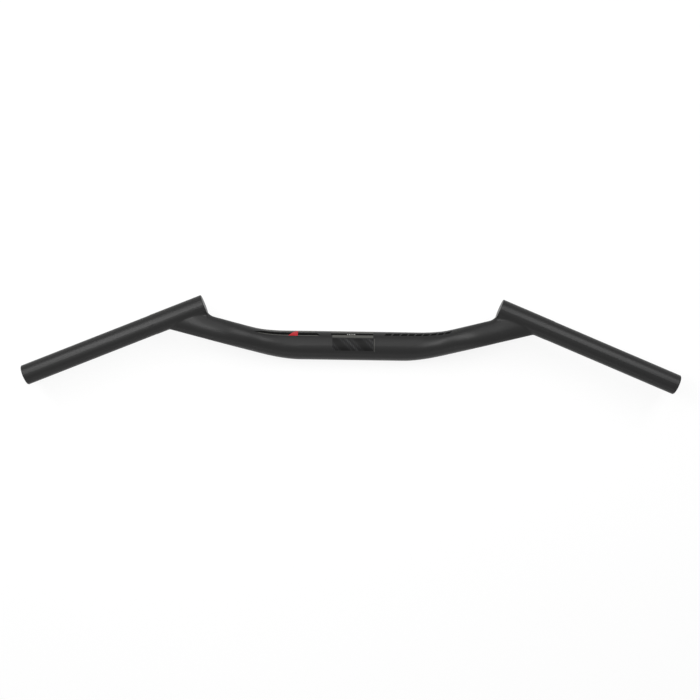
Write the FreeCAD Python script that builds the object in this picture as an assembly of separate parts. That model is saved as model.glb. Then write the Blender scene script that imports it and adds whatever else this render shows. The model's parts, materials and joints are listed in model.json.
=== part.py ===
import FreeCAD
import Part
import math
import os

# Mountain bike handlebar, moulded as one hollow piece.
# Frame: origin at the middle of the stem seat, +X to the rider's right, +Y forward, +Z up.
# Lengths are millimetres, angles are degrees.

# Stem seat
clamp_diameter = 31.8
clamp_length = 112.0
clamp_wall = 2.6

# Stance
overall_width = 720.0
grip_sweep = 22.3
rise = 25.4

# Grip tubes, which run on past the arms as short closed stubs, with a thicker collar there
grip_diameter = 22.2
grip_wall = 2.0
stub_length = 38.7
stub_end_wall = 2.6
collar_length = 58.7
collar_step = 0.2
collar_wall = 2.6
collar_taper = 4.0
stub_round = 0.8
tip_chamfer = 0.7

# Arms, whose reach in plan runs from the lower bend to the grip tube's axis
arm_reach = 114.0
arm_sweep = 14.1
arm_width = 25.8
arm_height = 18.0
arm_wall = 2.4
lower_bend_reach = 30.1
upper_bend_reach = 12.5

# Blend of each arm into its tube, with a rounded web up to the end of the stub
blend_lead = 1.5
web_radius = 13.0
web_inset = 0.25
web_depth = 8.0
crease_fillet = 4.0

# Stations of the lofted arm
lower_bend_shares = (0.0, 0.08, 0.28, 0.52, 0.76, 1.0)
arm_shares = (0.5,)
upper_bend_shares = (0.0, 0.5)
blend_shares = (0.0, 0.2, 0.4, 0.6, 0.8, 1.0)

up = FreeCAD.Vector(0, 0, 1)
grip_radius = grip_diameter / 2
collar_radius = grip_radius + collar_step
clamp_radius = clamp_diameter / 2
half_width = arm_width / 2
half_height = arm_height / 2


def plan(angle):
    """Unit vector in plan, turned from +X towards +Y."""
    return FreeCAD.Vector(math.cos(math.radians(angle)), math.sin(math.radians(angle)), 0)


def ease(share):
    """Smooth step from 0 to 1."""
    share = min(max(share, 0.0), 1.0)
    return share * share * (3 - 2 * share)


# Arm line in plan, from the vertex of the lower bend to its crossing with the grip tube's axis
arm_plan = plan(arm_sweep)
seat_end = FreeCAD.Vector(clamp_length / 2, 0, 0)
lower_vertex = seat_end + FreeCAD.Vector(lower_bend_reach, 0, 0)
crossing = lower_vertex + arm_plan * arm_reach + up * rise

# Grip tube line, out to the tip and in to the end of the stub
outward = plan(-grip_sweep)
inward = outward * -1
backward = plan(-90 - grip_sweep)
tip_x = overall_width / 2 - grip_radius * math.sin(math.radians(grip_sweep))
tip = crossing + outward * ((tip_x - crossing.x) / outward.x)
stub_end = crossing + inward * stub_length
tube_length = (stub_end - tip).Length

# Plan coordinates about the crossing: s runs inward along the tube, u back from its axis
meeting = math.radians(grip_sweep + arm_sweep)


def tube_point(s, u):
    """Point level with the tube's axis."""
    return crossing + inward * s + backward * u


def arm_point(t, n):
    """Point t in from the crossing along the arm and n forward of its axis."""
    return tube_point(
        t * math.cos(meeting) + n * math.sin(meeting),
        t * math.sin(meeting) - n * math.cos(meeting),
    )


def web_start_run(half, end_line, radius):
    """Run from the crossing to where the web leaves an arm of the given half width."""
    return (end_line + radius - (half + radius) * math.sin(meeting)) / math.cos(meeting)


# Arm line in rise: up through a lower and an upper bend, level where the blend starts
web_line = stub_length - web_inset
blend_run = web_start_run(half_width, web_line, web_radius) + blend_lead
upper_vertex = crossing - arm_plan * (blend_run + upper_bend_reach)
climb = (upper_vertex - lower_vertex).normalize()
lower_turn = climb.getAngle(FreeCAD.Vector(1, 0, 0))
upper_turn = climb.getAngle(arm_plan)


def bend(start, vertex, end, turn):
    """Circular arc that leaves start towards vertex and reaches end."""
    middle = (start + end) * 0.5
    bulge = (vertex - middle).normalize()
    sag = (start - middle).Length * math.tan(turn / 4)
    return Part.Arc(start, middle + bulge * sag, end).toShape()


lower_end = lower_vertex + climb * lower_bend_reach
upper_start = upper_vertex - climb * upper_bend_reach
upper_end = upper_vertex + arm_plan * upper_bend_reach
lower_bend = bend(seat_end, lower_vertex, lower_end, lower_turn)
arm_run = Part.makeLine(lower_end, upper_start)
upper_bend = bend(upper_start, upper_vertex, upper_end, upper_turn)


def oval(centre, side, half_side, rise_vector, half_rise):
    """Closed oval wire with its two half axes along side and rise_vector."""
    normal = side.cross(rise_vector)
    matrix = FreeCAD.Matrix(
        side.x * half_side, rise_vector.x * half_rise, normal.x, centre.x,
        side.y * half_side, rise_vector.y * half_rise, normal.y, centre.y,
        side.z * half_side, rise_vector.z * half_rise, normal.z, centre.z,
        0, 0, 0, 1,
    )
    circle = Part.Circle(FreeCAD.Vector(), up, 1).toShape()
    return Part.Wire(circle.transformGeometry(matrix).Edges)


def along(edge, share):
    """Point and direction on an edge at a share of its length."""
    place = edge.getParameterByLength(edge.Length * share)
    return edge.valueAt(place), edge.tangentAt(place)


def station(edge, share, half_side, half_rise):
    """Oval square to the arm's path."""
    point, direction = along(edge, share)
    side = up.cross(direction).normalize()
    return oval(point, side, half_side, direction.cross(side), half_rise)


def blend_edges(side_wall, end_wall):
    """Back and front edges of the blend in plan, inset by the walls.

    The front edge runs along the arm, round the web, then across the end of the stub.
    """
    half = half_width - side_wall
    radius = web_radius + side_wall
    start_run = web_start_run(half, web_line - end_wall, radius)
    centre = arm_point(start_run, half + radius)
    web_start = arm_point(start_run, half)
    web_end = centre + outward * radius
    web_middle = centre + ((web_start - centre) + (web_end - centre)).normalize() * radius
    front = Part.Wire([
        Part.makeLine(arm_point(blend_run, half), web_start),
        Part.Arc(web_start, web_middle, web_end).toShape(),
        Part.makeLine(web_end, web_end - backward * web_depth),
    ])
    back = Part.Wire(Part.makeLine(arm_point(blend_run, -half), arm_point(-web_depth, -half)))
    return back, front


def wire_point(wire, share):
    """Point on a wire at a share of its length."""
    left = wire.Length * share
    for edge in wire.OrderedEdges[:-1]:
        if left < edge.Length:
            return edge.valueAt(edge.getParameterByLength(left))
        left -= edge.Length
    last = wire.OrderedEdges[-1]
    return last.valueAt(last.getParameterByLength(min(left, last.Length)))


def arm(seat_wall, side_wall, end_wall, ruled):
    """Lofted arm from the stem seat into the grip tube, inset by its walls.

    A ruled arm runs straight from one station to the next.
    """
    wires = []
    for share in lower_bend_shares:
        wall = seat_wall + (side_wall - seat_wall) * ease(share)
        radius = clamp_radius + (half_width - clamp_radius) * ease(share) - wall
        wires.append(station(lower_bend, share, radius, radius))
    flattening = arm_run.Length + upper_bend.Length
    for edge, shares, before in (
        (arm_run, arm_shares, 0.0),
        (upper_bend, upper_bend_shares, arm_run.Length),
    ):
        for share in shares:
            done = ease((before + edge.Length * share) / flattening)
            tall = half_width + (half_height - half_width) * done
            wires.append(station(edge, share, half_width - side_wall, tall - side_wall))
    back_edge, front_edge = blend_edges(side_wall, end_wall)
    for share in blend_shares:
        back = wire_point(back_edge, share)
        front = wire_point(front_edge, share)
        side = (front - back).normalize()
        reach = (front - back).Length / 2
        wires.append(oval((front + back) * 0.5, side, reach, up, half_height - side_wall))
    return Part.makeLoft(wires, True, ruled)


def stepped_rod(grip, collar, length):
    """Round rod from the tip towards the stub, which steps from the grip's radius to the collar's."""
    collar_start = tube_length - collar_length
    outline = (
        (0, 0), (grip, 0), (grip, collar_start - collar_taper),
        (collar, collar_start), (collar, length), (0, length),
    )
    points = [tip + inward * run + up * radius for radius, run in outline]
    profile = Part.Face(Part.makePolygon(points + points[:1]))
    return profile.revolve(tip, inward, 360)


def rim(rod, centre):
    """Circular edge of a rod about the given centre."""
    return next(
        edge for edge in rod.Edges
        if isinstance(edge.Curve, Part.Circle) and (edge.Curve.Center - centre).Length < 1e-6
    )


def grip_tube():
    """Outside of the grip tube, chamfered at the tip and rounded at the end of the stub."""
    rod = stepped_rod(grip_radius, collar_radius, tube_length)
    rod = rod.makeChamfer(tip_chamfer, [rim(rod, tip)])
    return rod.makeFillet(stub_round, [rim(rod, stub_end)])


def on_both(edge, shapes):
    """True where an edge's middle lies on the skin of every shape."""
    middle = edge.valueAt((edge.FirstParameter + edge.LastParameter) / 2)
    return all(shape.Shells[0].distToShape(Part.Vertex(middle))[0] < 1e-3 for shape in shapes)


def half_bar():
    """Right half of the bar, from the middle of the stem seat to the tip."""
    sideways = FreeCAD.Vector(1, 0, 0)
    seat = Part.makeCylinder(clamp_radius, clamp_length / 2, FreeCAD.Vector(), sideways)
    outer_arm = arm(0.0, 0.0, 0.0, False)
    tube = grip_tube()
    outside = seat.fuse([outer_arm, tube])
    crease = [edge for edge in outside.Edges if on_both(edge, (outer_arm, tube))]
    outside = outside.makeFillet(crease_fillet, crease)
    hollows = (
        Part.makeCylinder(clamp_radius - clamp_wall, clamp_length / 2, FreeCAD.Vector(), sideways),
        arm(clamp_wall, arm_wall, stub_end_wall, True),
        stepped_rod(grip_radius - grip_wall, collar_radius - collar_wall, tube_length - stub_end_wall),
    )
    return outside.cut(hollows)


right_half = half_bar()
left_half = right_half.mirror(FreeCAD.Vector(), FreeCAD.Vector(1, 0, 0))
handlebar = right_half.fuse(left_half).removeSplitter()

os.makedirs("parts", exist_ok=True)
handlebar.exportStep("parts/handlebar.step")
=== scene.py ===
import json
import math

import bmesh
import bpy
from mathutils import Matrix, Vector
from mathutils.bvhtree import BVHTree


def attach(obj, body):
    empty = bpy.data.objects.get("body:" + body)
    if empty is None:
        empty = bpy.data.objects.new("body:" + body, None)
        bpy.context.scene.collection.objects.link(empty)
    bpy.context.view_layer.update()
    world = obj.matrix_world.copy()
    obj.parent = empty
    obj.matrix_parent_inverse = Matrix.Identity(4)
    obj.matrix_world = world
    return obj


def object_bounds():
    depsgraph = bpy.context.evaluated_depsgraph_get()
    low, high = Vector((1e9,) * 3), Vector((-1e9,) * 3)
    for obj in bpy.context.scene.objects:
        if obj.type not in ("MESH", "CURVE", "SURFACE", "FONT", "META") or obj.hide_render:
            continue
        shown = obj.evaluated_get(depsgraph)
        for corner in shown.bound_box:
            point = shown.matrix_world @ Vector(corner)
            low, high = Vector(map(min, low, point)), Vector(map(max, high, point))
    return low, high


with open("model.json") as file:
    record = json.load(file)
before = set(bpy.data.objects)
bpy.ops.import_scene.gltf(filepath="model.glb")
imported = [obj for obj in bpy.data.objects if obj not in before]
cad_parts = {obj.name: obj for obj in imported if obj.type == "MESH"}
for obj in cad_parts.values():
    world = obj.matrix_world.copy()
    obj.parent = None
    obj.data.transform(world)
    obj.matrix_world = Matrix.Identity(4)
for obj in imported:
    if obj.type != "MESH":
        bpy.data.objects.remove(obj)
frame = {"nodes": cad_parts, "record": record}
bpy.context.view_layer.update()
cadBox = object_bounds()
scene = bpy.context.scene
mm = 0.001
print("frame loaded:", sorted(frame["nodes"]))


def linearColour(hexText):
    # sRGB hex to the linear numbers that the shaders take
    channels = [int(hexText[i:i + 2], 16) / 255 for i in (1, 3, 5)]
    return [c / 12.92 if c <= 0.04045 else ((c + 0.055) / 1.055) ** 2.4 for c in channels] + [1.0]


def addNode(tree, kind, links=None, values=None, **settings):
    # links: input to (node, output); values: input to constant; settings: the node's properties
    node = tree.nodes.new(kind)
    for name, value in settings.items():
        setattr(node, name, value)
    for socket, value in (values or {}).items():
        node.inputs[socket].default_value = value
    for socket, (source, output) in (links or {}).items():
        tree.links.new(source.outputs[output], node.inputs[socket])
    return node


def newMaterial(name):
    material = bpy.data.materials.new(name)
    material.use_nodes = True
    material.node_tree.nodes.clear()
    return material, material.node_tree


# Camera straight above the bar, as the photograph was taken
cameraSettings = {
    "placeMm": (-1.4, -4.7, 1443.8),
    "rollDegrees": 0.87,
    "lensMm": 66.86,
    "sensorMm": 36.0,
}


def buildCamera(settings):
    data = bpy.data.cameras.new("camera")
    data.lens = settings["lensMm"]
    data.sensor_width = settings["sensorMm"]
    camera = bpy.data.objects.new("camera", data)
    camera.location = [value * mm for value in settings["placeMm"]]
    camera.rotation_euler = (0, 0, math.radians(settings["rollDegrees"]))
    scene.collection.objects.link(camera)
    scene.camera = camera
    return camera


camera = buildCamera(cameraSettings)
print("camera above the bar, lens", round(camera.data.lens, 2))


# The grain that the lacquer and the inks share
grainSettings = {
    "detail": 3.0,
    "depthShare": 0.1,   # depth of the grain as a share of its width
}


def grainedMaterial(name, settings):
    # two close tones in a fine grain, which also varies the sheen and lifts the surface a little
    material, tree = newMaterial(name)
    grainWidth = settings["grainMm"] * mm
    place = addNode(tree, "ShaderNodeTexCoord")
    grain = addNode(tree, "ShaderNodeTexNoise", links={"Vector": (place, "Object")},
                    values={"Scale": 1 / grainWidth, "Detail": grainSettings["detail"]})
    tone = addNode(tree, "ShaderNodeMix", data_type="RGBA", links={"Factor": (grain, "Fac")},
                   values={"A": linearColour(settings["dark"]), "B": linearColour(settings["light"])})
    smooth, rough = settings["roughness"]
    sheen = addNode(tree, "ShaderNodeMapRange", links={"Value": (grain, "Fac")},
                    values={"To Min": smooth, "To Max": rough})
    relief = addNode(tree, "ShaderNodeBump", links={"Height": (grain, "Fac")},
                     values={"Strength": settings["relief"],
                             "Distance": grainWidth * grainSettings["depthShare"]})
    shader = addNode(tree, "ShaderNodeBsdfPrincipled",
                     values={"Specular IOR Level": settings["specular"]},
                     links={"Base Color": (tone, "Result"), "Roughness": (sheen, "Result"),
                            "Normal": (relief, "Normal")})
    addNode(tree, "ShaderNodeOutputMaterial", links={"Surface": (shader, "BSDF")})
    return material


# Matte black lacquer: nearly black, no mirror, one soft broad sheen along each tube
lacquer = grainedMaterial("matte black lacquer", {
    "dark": "#181818", "light": "#1f1f1f", "grainMm": 0.35,
    "roughness": (0.34, 0.42), "relief": 0.06, "specular": 0.2,
})
bar = frame["nodes"]["handlebar"]
bar.data.materials[0] = lacquer
print("bar lacquered:", len(bar.data.polygons), "faces")


# Inks of the printed marks, and the grey of the strips painted as sheen
markFinishes = {
    # deep black print, darker than the lacquer
    "black": grainedMaterial("black print", {
        "dark": "#020202", "light": "#050505", "grainMm": 0.2,
        "roughness": (0.24, 0.30), "relief": 0.02, "specular": 0.04,
    }),
    # dull grey print of the thin lines, also the grey of the strips painted as sheen along the front
    # edges
    "grey": grainedMaterial("grey print and painted sheen", {
        "dark": "#464643", "light": "#50504d", "grainMm": 0.2,
        "roughness": (0.42, 0.50), "relief": 0.02, "specular": 0.17,
    }),
    # pale grey print of the scale's ticks
    "pale": grainedMaterial("pale grey print and painted sheen", {
        "dark": "#b2b2ae", "light": "#bcbcb8", "grainMm": 0.2,
        "roughness": (0.45, 0.52), "relief": 0.02, "specular": 0.25,
    }),
    # flat red accent
    "red": grainedMaterial("red print", {
        "dark": "#9e1821", "light": "#a81c26", "grainMm": 0.2,
        "roughness": (0.38, 0.45), "relief": 0.02, "specular": 0.25,
    }),
}


def weaveMaterial(settings):
    # bare fibre in a two by two twill under a thin clear coat, with broad slanting bands tone on
    # tone; each tow carries a painted highlight along its crown, fainter on the weft tows
    material, tree = newMaterial("clear-coated carbon twill with painted tow highlights")
    place = addNode(tree, "ShaderNodeUVMap", uv_map="print")
    tows = addNode(tree, "ShaderNodeVectorMath", operation="SCALE", links={0: (place, "UV")},
                   values={"Scale": 1 / settings["towMm"]})
    number = addNode(tree, "ShaderNodeVectorMath", operation="FLOOR", links={0: (tows, "Vector")})
    within = addNode(tree, "ShaderNodeVectorMath", operation="FRACTION", links={0: (tows, "Vector")})
    numberParts = addNode(tree, "ShaderNodeSeparateXYZ", links={0: (number, "Vector")})
    withinParts = addNode(tree, "ShaderNodeSeparateXYZ", links={0: (within, "Vector")})
    step = addNode(tree, "ShaderNodeMath", operation="ADD",
                   links={0: (numberParts, "X"), 1: (numberParts, "Y")})
    turn = addNode(tree, "ShaderNodeMath", operation="FLOORED_MODULO", links={0: (step, "Value")},
                   values={1: settings["twillRepeat"]})
    warpOnTop = addNode(tree, "ShaderNodeMath", operation="LESS_THAN", links={0: (turn, "Value")},
                        values={1: settings["twillRepeat"] / 2})
    across = addNode(tree, "ShaderNodeMix", links={"Factor": (warpOnTop, "Value"),
                                                   "A": (withinParts, "Y"), "B": (withinParts, "X")})
    # painted highlight across each tow, brightest along its crown
    angle = addNode(tree, "ShaderNodeMath", operation="MULTIPLY", links={0: (across, "Result")},
                    values={1: math.pi})
    crown = addNode(tree, "ShaderNodeMath", operation="SINE", links={0: (angle, "Value")})
    lay = addNode(tree, "ShaderNodeMapRange", links={"Value": (warpOnTop, "Value")},
                  values={"To Min": settings["weftHighlightShare"], "To Max": 1.0})
    paintedTowHighlight = addNode(tree, "ShaderNodeMath", operation="MULTIPLY",
                    links={0: (crown, "Value"), 1: (lay, "Result")})
    bands = addNode(tree, "ShaderNodeTexWave", bands_direction="DIAGONAL",
                    links={"Vector": (place, "UV")},
                    values={"Scale": settings["waveTurn"] / settings["bandMm"],
                            "Distortion": settings["bandWander"], "Detail": settings["bandDetail"]})
    dark, light = linearColour(settings["dark"]), linearColour(settings["light"])
    # tow tones, from dark to light by the painted highlight
    weaveWithPaintedHighlight = addNode(tree, "ShaderNodeMix", data_type="RGBA", links={"Factor": (paintedTowHighlight, "Value")},
                    values={"A": dark, "B": light})
    tone = addNode(tree, "ShaderNodeMix", data_type="RGBA", values={"B": dark},
                   links={"Factor": (bands, "Fac"), "A": (weaveWithPaintedHighlight, "Result")})
    shader = addNode(tree, "ShaderNodeBsdfPrincipled", links={"Base Color": (tone, "Result")},
                     values={"Roughness": settings["roughness"],
                             "Specular IOR Level": settings["specular"],
                             "Coat Weight": settings["coat"],
                             "Coat Roughness": settings["coatRoughness"]})
    addNode(tree, "ShaderNodeOutputMaterial", links={"Surface": (shader, "BSDF")})
    return material


markFinishes["weaveWithPaintedHighlight"] = weaveMaterial({
    # the light tone is the crown of a tow's painted highlight
    "dark": "#070707", "light": "#323233",
    "towMm": 1.6, "twillRepeat": 4, "weftHighlightShare": 0.4,
    "bandMm": 13.0, "bandWander": 2.0, "bandDetail": 1.0,
    "waveTurn": math.pi / 10,   # half a turn for each band, at the node's ten radians a unit
    "roughness": 0.5, "specular": 0.1, "coat": 0.04, "coatRoughness": 0.25,
})
print("inks mixed:", len(markFinishes))


# The bar's skin under the marks: the round seat, then a bend that narrows as it turns
stemSeat = next(mount for mount in frame["record"]["mounts"] if mount["name"] == "stem_clamp")
skin = {
    "seatHalf": stemSeat["dims"]["length_mm"] / 2,
    "seatRadius": stemSeat["dims"]["r_mm"],
    "armRadius": 12.9,
    "bendReach": 30.1,               # from either end of the bend to its vertex
    "bendTurn": math.radians(28.2),
    "bendLean": math.radians(62.1),  # the bend's plane, turned from forward towards up
    "markLift": 0.08,
    "layerLift": 0.04,               # more, for a mark that lies on another
    "castRadii": 2.0,                # how far out the ray to the mesh starts
    "cellMm": 1.0,
}
bendRadius = skin["bendReach"] / math.tan(skin["bendTurn"] / 2)
barMesh = bmesh.new()
barMesh.from_mesh(bar.data)
barTree = BVHTree.FromBMesh(barMesh)
barMesh.free()


def onSkin(along, around, layer):
    # along: mm from the middle, + to the right; around: degrees from the top, + to the front
    run = max(abs(along) - skin["seatHalf"], 0.0)
    turn = min(run / bendRadius, skin["bendTurn"])
    straight = run - turn * bendRadius
    sideways = Vector((1, 0, 0))
    lean = Vector((0, math.cos(skin["bendLean"]), math.sin(skin["bendLean"])))
    direction = sideways * math.cos(turn) + lean * math.sin(turn)
    centre = sideways * min(abs(along), skin["seatHalf"]) + direction * straight
    centre += (sideways * math.sin(turn) + lean * (1 - math.cos(turn))) * bendRadius
    front = Vector((0, 0, 1)).cross(direction).normalized()
    top = direction.cross(front)
    share = turn / skin["bendTurn"]
    widening = skin["armRadius"] - skin["seatRadius"]   # below zero, as the bend narrows
    radius = skin["seatRadius"] + widening * share * share * (3 - 2 * share)
    angle = math.radians(around)
    outward = front * math.sin(angle) + top * math.cos(angle)
    centre.x = math.copysign(centre.x, along)
    outward.x *= math.copysign(1, along)
    # whichever stands further out: the round form, or the bar's mesh along the same line
    hit = barTree.ray_cast((centre + outward * skin["castRadii"] * radius) * mm, -outward)[0]
    reach = max(radius, (hit / mm - centre).dot(outward))
    return (centre + outward * (reach + skin["markLift"] + layer * skin["layerLift"])) * mm


def printOrSheenMark(name, mark):
    # a grid laid on the skin, whose left and right ends may lean and whose width may taper
    (left, right), (low, high) = mark["along"], mark["around"]
    leanLeft, leanRight = mark.get("lean", (0.0, 0.0))
    widthLeft, widthRight = mark.get("widths", (1.0, 1.0))
    length = right - left
    arc = math.radians(high - low) * skin["seatRadius"]
    half = 0.5   # the grid starts as a unit square about the origin
    grid = bmesh.new()
    bmesh.ops.create_grid(grid, x_segments=math.ceil(length / skin["cellMm"]) + 1,
                          y_segments=math.ceil(arc / skin["cellMm"]) + 1, size=half)
    uvLayer = grid.loops.layers.uv.new("print")
    for face in grid.faces:
        for loop in face.loops:
            loop[uvLayer].uv = ((loop.vert.co.x + half) * length, (loop.vert.co.y + half) * arc)
    for vertex in grid.verts:
        run, across = vertex.co.x + half, vertex.co.y + half
        across *= widthLeft + (widthRight - widthLeft) * run
        leaning = leanLeft + (leanRight - leanLeft) * run
        along = left + length * run + leaning * across
        vertex.co = onSkin(along, low + (high - low) * across, mark.get("layer", 0))
    mesh = bpy.data.meshes.new(name)
    grid.to_mesh(mesh)
    grid.free()
    mesh.shade_smooth()
    mesh.materials.append(markFinishes[mark["finish"]])
    piece = bpy.data.objects.new(name, mesh)
    scene.collection.objects.link(piece)
    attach(piece, "root")


# Left of the middle: a black stripe that runs round the bend, edged in grey, with a red block on it;
# the grey strip along its front edge is a painted sheen, the reflection a glossy stripe shows there
leftMarks = {
    "left_stripe": {"finish": "black", "along": (-115, -35), "around": (43.5, 58), "lean": (12, -3)},
    "left_line": {"finish": "grey", "along": (-111, -36), "around": (39.5, 43), "lean": (3, -1)},
    # painted reflection: a tapered grey strip along the stripe's front edge
    "left_front_painted_sheen": {"finish": "grey", "along": (-104, -40), "around": (62, 78), "lean": (0, -3),
                          "widths": (0.4, 1.0)},
    "left_red_block": {"finish": "red", "along": (-71.7, -59.7), "around": (39.5, 76),
                       "lean": (10.5, 0.5), "layer": 1},
}

# Right of the middle: a row of leaning black dashes
dashes = {"finish": "black", "start": 36.2, "pitch": 9.1, "length": 7.0, "count": 9, "around": (48, 62),
          "lean": (2, 2)}
rightMarks = {}
for index in range(dashes["count"]):
    start = dashes["start"] + index * dashes["pitch"]
    rightMarks["right_dash_%d" % (index + 1)] = dict(dashes, along=(start, start + dashes["length"]))

# Middle: a woven panel for the stem to line up with, edged by thin lines, and a scale of plain ticks;
# the grey strip along the panel's front edge is a painted sheen, the reflection its gloss shows there
middleMarks = {
    "woven_panel": {"finish": "weaveWithPaintedHighlight", "along": (-21, 24.0), "around": (-20, 30)},
    "panel_line": {"finish": "grey", "along": (-21, 24.0), "around": (34, 46)},
    "panel_black_line": {"finish": "black", "along": (-22.5, 24.0), "around": (48, 56)},
    # painted reflection: a grey strip along the panel's front edge
    "panel_front_painted_sheen": {"finish": "grey", "along": (-22.5, 24.0), "around": (60, 82)},
    "panel_edge_line": {"finish": "grey", "along": (25.1, 25.6), "around": (-24, 30)},
}
ticks = {"finish": "pale", "middle": -0.7, "pitch": 1.9, "width": 0.7, "count": 5, "around": (48, 53.5),
         "layer": 1}
for index in range(ticks["count"]):
    start = ticks["middle"] + (index - (ticks["count"] - 1) / 2) * ticks["pitch"]
    middleMarks["scale_tick_%d" % (index + 1)] = dict(ticks, along=(start, start + ticks["width"]))

for markGroup in (leftMarks, rightMarks, middleMarks):
    for markName, mark in markGroup.items():
        printOrSheenMark(markName, mark)
print("marks printed:", len(leftMarks) + len(rightMarks) + len(middleMarks))


def seenDirectly(tree):
    # 1 for the rays that show the background: from the camera, off a gloss and through glass
    path = addNode(tree, "ShaderNodeLightPath")
    glossy = addNode(tree, "ShaderNodeMath", operation="MAXIMUM",
                     links={0: (path, "Is Camera Ray"), 1: (path, "Is Glossy Ray")})
    return addNode(tree, "ShaderNodeMath", operation="MAXIMUM",
                   links={0: (glossy, "Value"), 1: (path, "Is Transmission Ray")})


# Pale floor under the bar, white to the camera, with a soft shadow
floorSettings = {
    "size": 12.0,
    "gapMm": 0.2,
    "colour": "#e4e4e4",
    "seenColour": "#646464",
    "glow": (0.88, 1.0),   # under the lamps, and from the rim outwards
    "glowRim": 1.8,
    "glowFade": 0.7,       # share of the rim's radius over which the one turns into the other
}


def buildFloor(settings):
    height = cadBox[0].z - settings["gapMm"] * mm
    bpy.ops.mesh.primitive_plane_add(size=settings["size"], location=(0, 0, height))
    floor = bpy.context.object
    floor.name = "floor"
    material, tree = newMaterial("pale floor")
    paper = addNode(tree, "ShaderNodeBsdfDiffuse", values={"Color": linearColour(settings["colour"])})
    shaded = addNode(tree, "ShaderNodeBsdfDiffuse",
                     values={"Color": linearColour(settings["seenColour"])})
    place = addNode(tree, "ShaderNodeTexCoord")
    spread = addNode(tree, "ShaderNodeVectorMath", operation="SCALE", links={0: (place, "Object")},
                     values={"Scale": 1 / settings["glowRim"]})
    nearness = addNode(tree, "ShaderNodeTexGradient", gradient_type="SPHERICAL",
                       links={"Vector": (spread, "Vector")})
    near, far = settings["glow"]
    strength = addNode(tree, "ShaderNodeMapRange", links={"Value": (nearness, "Fac")},
                       values={"From Max": settings["glowFade"], "To Min": far, "To Max": near})
    glow = addNode(tree, "ShaderNodeEmission", links={"Strength": (strength, "Result")})
    white = addNode(tree, "ShaderNodeAddShader", links={0: (shaded, "BSDF"), 1: (glow, "Emission")})
    mixed = addNode(tree, "ShaderNodeMixShader", links={
        0: (seenDirectly(tree), "Value"), 1: (paper, "BSDF"), 2: (white, "Shader"),
    })
    addNode(tree, "ShaderNodeOutputMaterial", links={"Surface": (mixed, "Shader")})
    floor.data.materials.append(material)
    return floor


floor = buildFloor(floorSettings)
print("floor laid, mm below the stem seat's axis:", round(-floor.location.z / mm, 1))


# Soft boxes past the bar's front edge: a tall one before each grip and a weaker one between them,
# and a long low one behind that keeps the bar's back from going black
lightSettings = {
    "left": {
        "place": (-0.55, 0.33, 0.95), "aim": (-0.28, 0.0, 0.0),
        "size": (0.28, 1.2), "radiance": 10.6,
    },
    "right": {
        "place": (0.62, 0.46, 0.95), "aim": (0.28, 0.0, 0.0),
        "size": (0.34, 0.85), "radiance": 8.0,
    },
    "middle": {
        "place": (0.0, 0.80, 0.95), "aim": (0.0, 0.0, 0.0),
        "size": (0.4, 1.1), "radiance": 2.0,
    },
    "back": {
        "place": (-0.35, -1.3, 0.35), "aim": (0.0, 0.0, 0.0),
        "size": (1.4, 0.35), "radiance": 1.2,
    },
}
worldSettings = {"seen": 1.0, "fill": 0.07}


def buildLights(settings):
    for name, light in settings.items():
        data = bpy.data.lights.new(name + " soft box", "AREA")
        data.shape = "RECTANGLE"
        data.size, data.size_y = light["size"]
        data.energy = light["radiance"] * math.pi * data.size * data.size_y
        lamp = bpy.data.objects.new(name + " soft box", data)
        scene.collection.objects.link(lamp)
        lamp.location = light["place"]
        towards = Vector(light["aim"]) - lamp.location
        lamp.rotation_euler = towards.to_track_quat("-Z", "Y").to_euler()


def buildWorld(settings):
    world = bpy.data.worlds.new("studio")
    world.use_nodes = True
    scene.world = world
    tree = world.node_tree
    tree.nodes.clear()
    strength = addNode(tree, "ShaderNodeMapRange", links={"Value": (seenDirectly(tree), "Value")},
                       values={"To Min": settings["fill"], "To Max": settings["seen"]})
    light = addNode(tree, "ShaderNodeBackground", links={"Strength": (strength, "Result")},
                    values={"Color": (1, 1, 1, 1)})
    addNode(tree, "ShaderNodeOutputWorld", links={"Surface": (light, "Background")})


buildLights(lightSettings)
buildWorld(worldSettings)
scene.view_settings.view_transform = "Standard"
print("studio lit")
